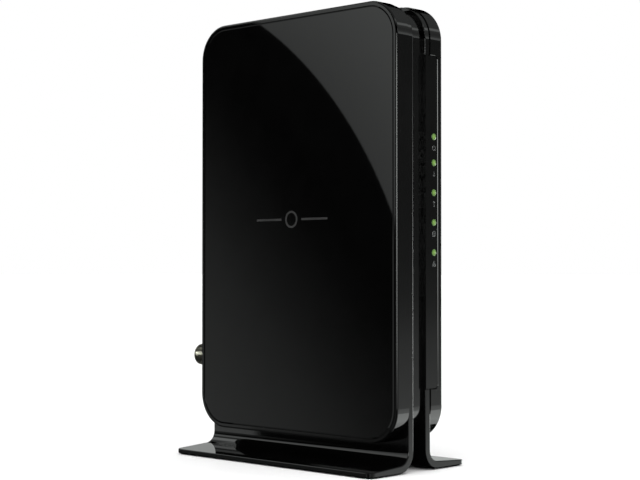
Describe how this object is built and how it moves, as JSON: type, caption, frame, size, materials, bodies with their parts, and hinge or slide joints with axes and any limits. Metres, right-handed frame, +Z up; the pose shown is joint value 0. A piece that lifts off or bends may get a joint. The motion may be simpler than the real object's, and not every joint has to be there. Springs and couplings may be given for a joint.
{
  "type": "cable modem",
  "caption": "Slim upright black cable modem on two bent leg plates, with front status lights and rear coax, network and power sockets.",
  "frame": {"origin": "on the table, under the middle of the whole object's box, coaxial connector included", "axes": "+Z up, -Y towards the status lights at the front, +Y out of the rear connectors, +X across the case"},
  "size_m": [0.0592, 0.132, 0.19],
  "materials": {
    "case_gloss": "gloss black moulding",
    "panel_gloss": "polished black",
    "leg_gloss": "gloss black moulding",
    "band_black": "semi-gloss black",
    "rear_satin": "fine satin texture",
    "strip_gloss": "polished black",
    "light_lens": "green light pipe",
    "foot_rubber": "matte",
    "screw_steel": "zinc plated",
    "coax_nickel": "nickel plated",
    "coax_insulator": "white",
    "contact_gold": "gold flash",
    "jack_plastic": "satin",
    "jack_shield": "tinned",
    "button_plastic": "satin",
    "board_green": "solder mask",
    "sink_aluminium": "extruded",
    "chip_black": "moulded epoxy",
    "pad_grey": "soft",
    "can_aluminium": "drawn can",
    "coil_ferrite": "sintered",
    "led_body": "white"
  },
  "bodies": {
    "case": {"left_shell": "case_gloss", "right_shell": "case_gloss", "left_side_panel": "panel_gloss", "right_side_panel": "panel_gloss", "left_leg_frame": "leg_gloss", "right_leg_frame": "leg_gloss", "center_frame": "band_black", "rear_panel": "rear_satin", "status_window": "strip_gloss", "status_light_pipes": "light_lens", "foot_pads": "foot_rubber", "case_screws": "screw_steel", "coax_body": "coax_nickel", "coax_insulator": "coax_insulator", "coax_center_contact": "contact_gold", "coax_lock_washer": "coax_nickel", "coax_hex_nut": "coax_nickel", "power_inlet_housing": "jack_plastic", "power_inlet_pin": "coax_nickel", "power_inlet_contact": "contact_gold", "ethernet_jack_housing": "jack_plastic", "ethernet_jack_shield": "jack_shield", "ethernet_jack_contacts": "contact_gold", "power_switch_body": "jack_plastic", "reset_switch_body": "jack_plastic", "main_board": "board_green", "board_screws": "screw_steel", "heat_sink": "sink_aluminium", "modem_chip": "chip_black", "thermal_pad": "pad_grey", "tuner_chip": "chip_black", "tuner_can_lid": "jack_shield", "tuner_can_frame": "jack_shield", "memory_chip": "chip_black", "flash_chip": "chip_black", "ethernet_transformer": "chip_black", "clock_crystal": "jack_shield", "filter_capacitors": "can_aluminium", "power_inductors": "coil_ferrite", "regulator_chips": "chip_black", "status_leds": "led_body"},
    "power_key": {"power_button": "button_plastic"},
    "reset_key": {"reset_plunger": "button_plastic"}
  },
  "joints": [
    {"name": "power_button_press", "type": "slide", "parent": "case", "child": "power_key", "axis": [0, -1, 0], "range_m": [0, 0.0015], "stiffness_N_per_m": 1200, "springref_m": -0.0005},
    {"name": "reset_press", "type": "slide", "parent": "case", "child": "reset_key", "axis": [0, -1, 0], "range_m": [0, 0.00035], "stiffness_N_per_m": 4000, "springref_m": -0.0001}
  ]
}
